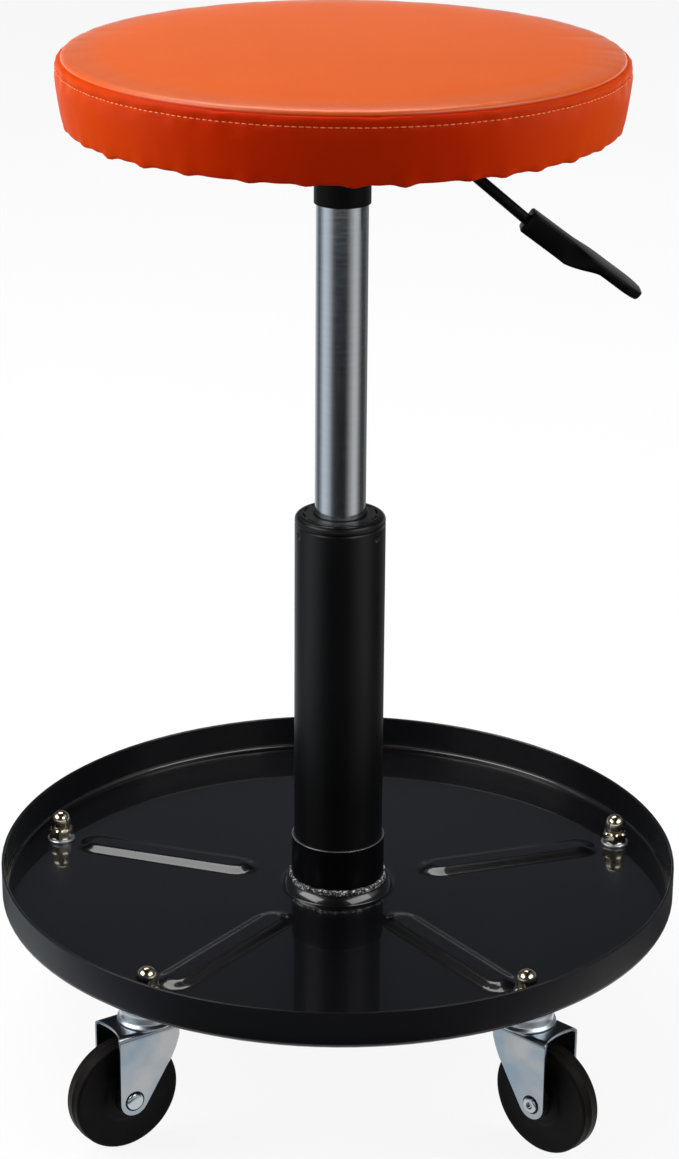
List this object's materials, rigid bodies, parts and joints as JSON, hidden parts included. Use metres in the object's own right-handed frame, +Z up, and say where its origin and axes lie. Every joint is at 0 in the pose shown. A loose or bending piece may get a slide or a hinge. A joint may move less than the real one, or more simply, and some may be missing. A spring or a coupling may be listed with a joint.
{
  "type": "creeper seat",
  "caption": "Height-adjustable rolling work stool: round padded vinyl seat on a gas lift, round steel tool tray and swivel casters.",
  "frame": {"origin": "on the floor, under the axis of the column", "axes": "+Z up along the column, +X to the side of the release lever, -Y to the front"},
  "size_m": [0.3819, 0.382, 0.5645],
  "materials": {
    "tray_paint": "gloss black powder coat",
    "column_paint": "satin black powder coat",
    "tube_steel": "ground and chromed tube, fine circumferential grain",
    "plain_steel": "turned steel",
    "zinc": "bright bluish zinc plate",
    "nickel": "bright nickel plate",
    "brass": "plain",
    "black_plastic": "moulded, satin",
    "wheel_rubber": "matte dark grey",
    "black_rubber": "matte",
    "vinyl": "orange vinyl, satin, fine grain",
    "foam": "open-cell foam",
    "plywood": "raw plywood"
  },
  "bodies": {
    "base": {"tray": "tray_paint", "base_socket": "column_paint", "weld_bead": "tray_paint", "column": "column_paint", "guide_bush": "black_plastic", "stem_bolts": "zinc", "cap_nuts": "nickel", "stem_washers": "nickel", "raceway_cups": "zinc", "caster_balls": "plain_steel", "lower_race": "plain_steel", "bearing_cage": "brass", "bearing_balls": "plain_steel"},
    "piston_assembly": {"upper_race": "plain_steel", "retaining_clip": "plain_steel", "piston_rod": "plain_steel", "bumper": "black_rubber", "piston": "plain_steel", "piston_seal": "black_rubber"},
    "seat": {"gas_tube": "tube_steel", "rod_guide": "black_plastic", "rod_seal": "black_rubber", "valve_body": "black_plastic", "seat_hub": "column_paint", "lever_housing": "column_paint", "seat_plate": "column_paint", "seat_bolts": "zinc", "lock_washers": "zinc", "tee_nuts": "zinc", "seat_board": "plywood", "seat_foam": "foam", "seat_cover": "vinyl", "cover_staples": "zinc", "pivot_pin": "plain_steel", "pivot_clip": "plain_steel"},
    "release_pin": {"valve_pin": "plain_steel"},
    "release_lever": {"lever_rod": "column_paint", "lever_handle": "black_plastic"},
    "fork_1": {"caster_fork_1": "zinc", "caster_axle_1": "zinc", "caster_bush_1": "plain_steel"},
    "fork_2": {"caster_fork_2": "zinc", "caster_axle_2": "zinc", "caster_bush_2": "plain_steel"},
    "fork_3": {"caster_fork_3": "zinc", "caster_axle_3": "zinc", "caster_bush_3": "plain_steel"},
    "fork_4": {"caster_fork_4": "zinc", "caster_axle_4": "zinc", "caster_bush_4": "plain_steel"},
    "fork_5": {"caster_fork_5": "zinc", "caster_axle_5": "zinc", "caster_bush_5": "plain_steel"},
    "wheel_1": {"caster_wheel_1": "wheel_rubber"},
    "wheel_2": {"caster_wheel_2": "wheel_rubber"},
    "wheel_3": {"caster_wheel_3": "wheel_rubber"},
    "wheel_4": {"caster_wheel_4": "wheel_rubber"},
    "wheel_5": {"caster_wheel_5": "wheel_rubber"}
  },
  "joints": [
    {"name": "seat_swivel", "type": "hinge", "parent": "base", "child": "piston_assembly", "pos_m": [0, 0, 0.07], "axis": [0, 0, 1], "continuous": true},
    {"name": "seat_lift", "type": "slide", "parent": "piston_assembly", "child": "seat", "axis": [0, 0, 1], "range_m": [-0.12, 0]},
    {"name": "lever_pull", "type": "hinge", "parent": "seat", "child": "release_lever", "pos_m": [0.04, 0, 0.5115], "axis": [0, -1, 0], "range_deg": [0, 5], "stiffness_Nm_per_rad": 2, "springref_deg": -5.73},
    {"name": "pin_press", "type": "slide", "parent": "seat", "child": "release_pin", "axis": [0, 0, -1], "range_m": [0, 0.0035]},
    {"name": "caster_swivel_1", "type": "hinge", "parent": "base", "child": "fork_1", "pos_m": [0, 0.1713, 0.0705], "axis": [0, 0, 1], "continuous": true},
    {"name": "wheel_spin_1", "type": "hinge", "parent": "fork_1", "child": "wheel_1", "pos_m": [-0.01605, 0.16847, 0.031], "axis": [0.1736, -0.9848, 0], "continuous": true},
    {"name": "caster_swivel_2", "type": "hinge", "parent": "base", "child": "fork_2", "pos_m": [-0.16292, 0.05294, 0.0705], "axis": [0, 0, 1], "continuous": true},
    {"name": "wheel_spin_2", "type": "hinge", "parent": "fork_2", "child": "wheel_2", "pos_m": [-0.16009, 0.06899, 0.031], "axis": [-0.9848, 0.1736, 0], "continuous": true},
    {"name": "caster_swivel_3", "type": "hinge", "parent": "base", "child": "fork_3", "pos_m": [-0.10069, -0.13859, 0.0705], "axis": [0, 0, 1], "continuous": true},
    {"name": "wheel_spin_3", "type": "hinge", "parent": "fork_3", "child": "wheel_3", "pos_m": [-0.1142, -0.1477, 0.031], "axis": [0.5592, -0.829, 0], "continuous": true},
    {"name": "caster_swivel_4", "type": "hinge", "parent": "base", "child": "fork_4", "pos_m": [0.10069, -0.13859, 0.0705], "axis": [0, 0, 1], "continuous": true},
    {"name": "wheel_spin_4", "type": "hinge", "parent": "fork_4", "child": "wheel_4", "pos_m": [0.11251, -0.1498, 0.031], "axis": [0.6884, 0.7254, 0], "continuous": true},
    {"name": "caster_swivel_5", "type": "hinge", "parent": "base", "child": "fork_5", "pos_m": [0.16292, 0.05294, 0.0705], "axis": [0, 0, 1], "continuous": true},
    {"name": "wheel_spin_5", "type": "hinge", "parent": "fork_5", "child": "wheel_5", "pos_m": [0.16009, 0.06899, 0.031], "axis": [-0.9848, -0.1736, 0], "continuous": true}
  ],
  "couplings": [
    {"joint": "pin_press", "follows": "lever_pull", "m_per_rad": 0.04}
  ]
}
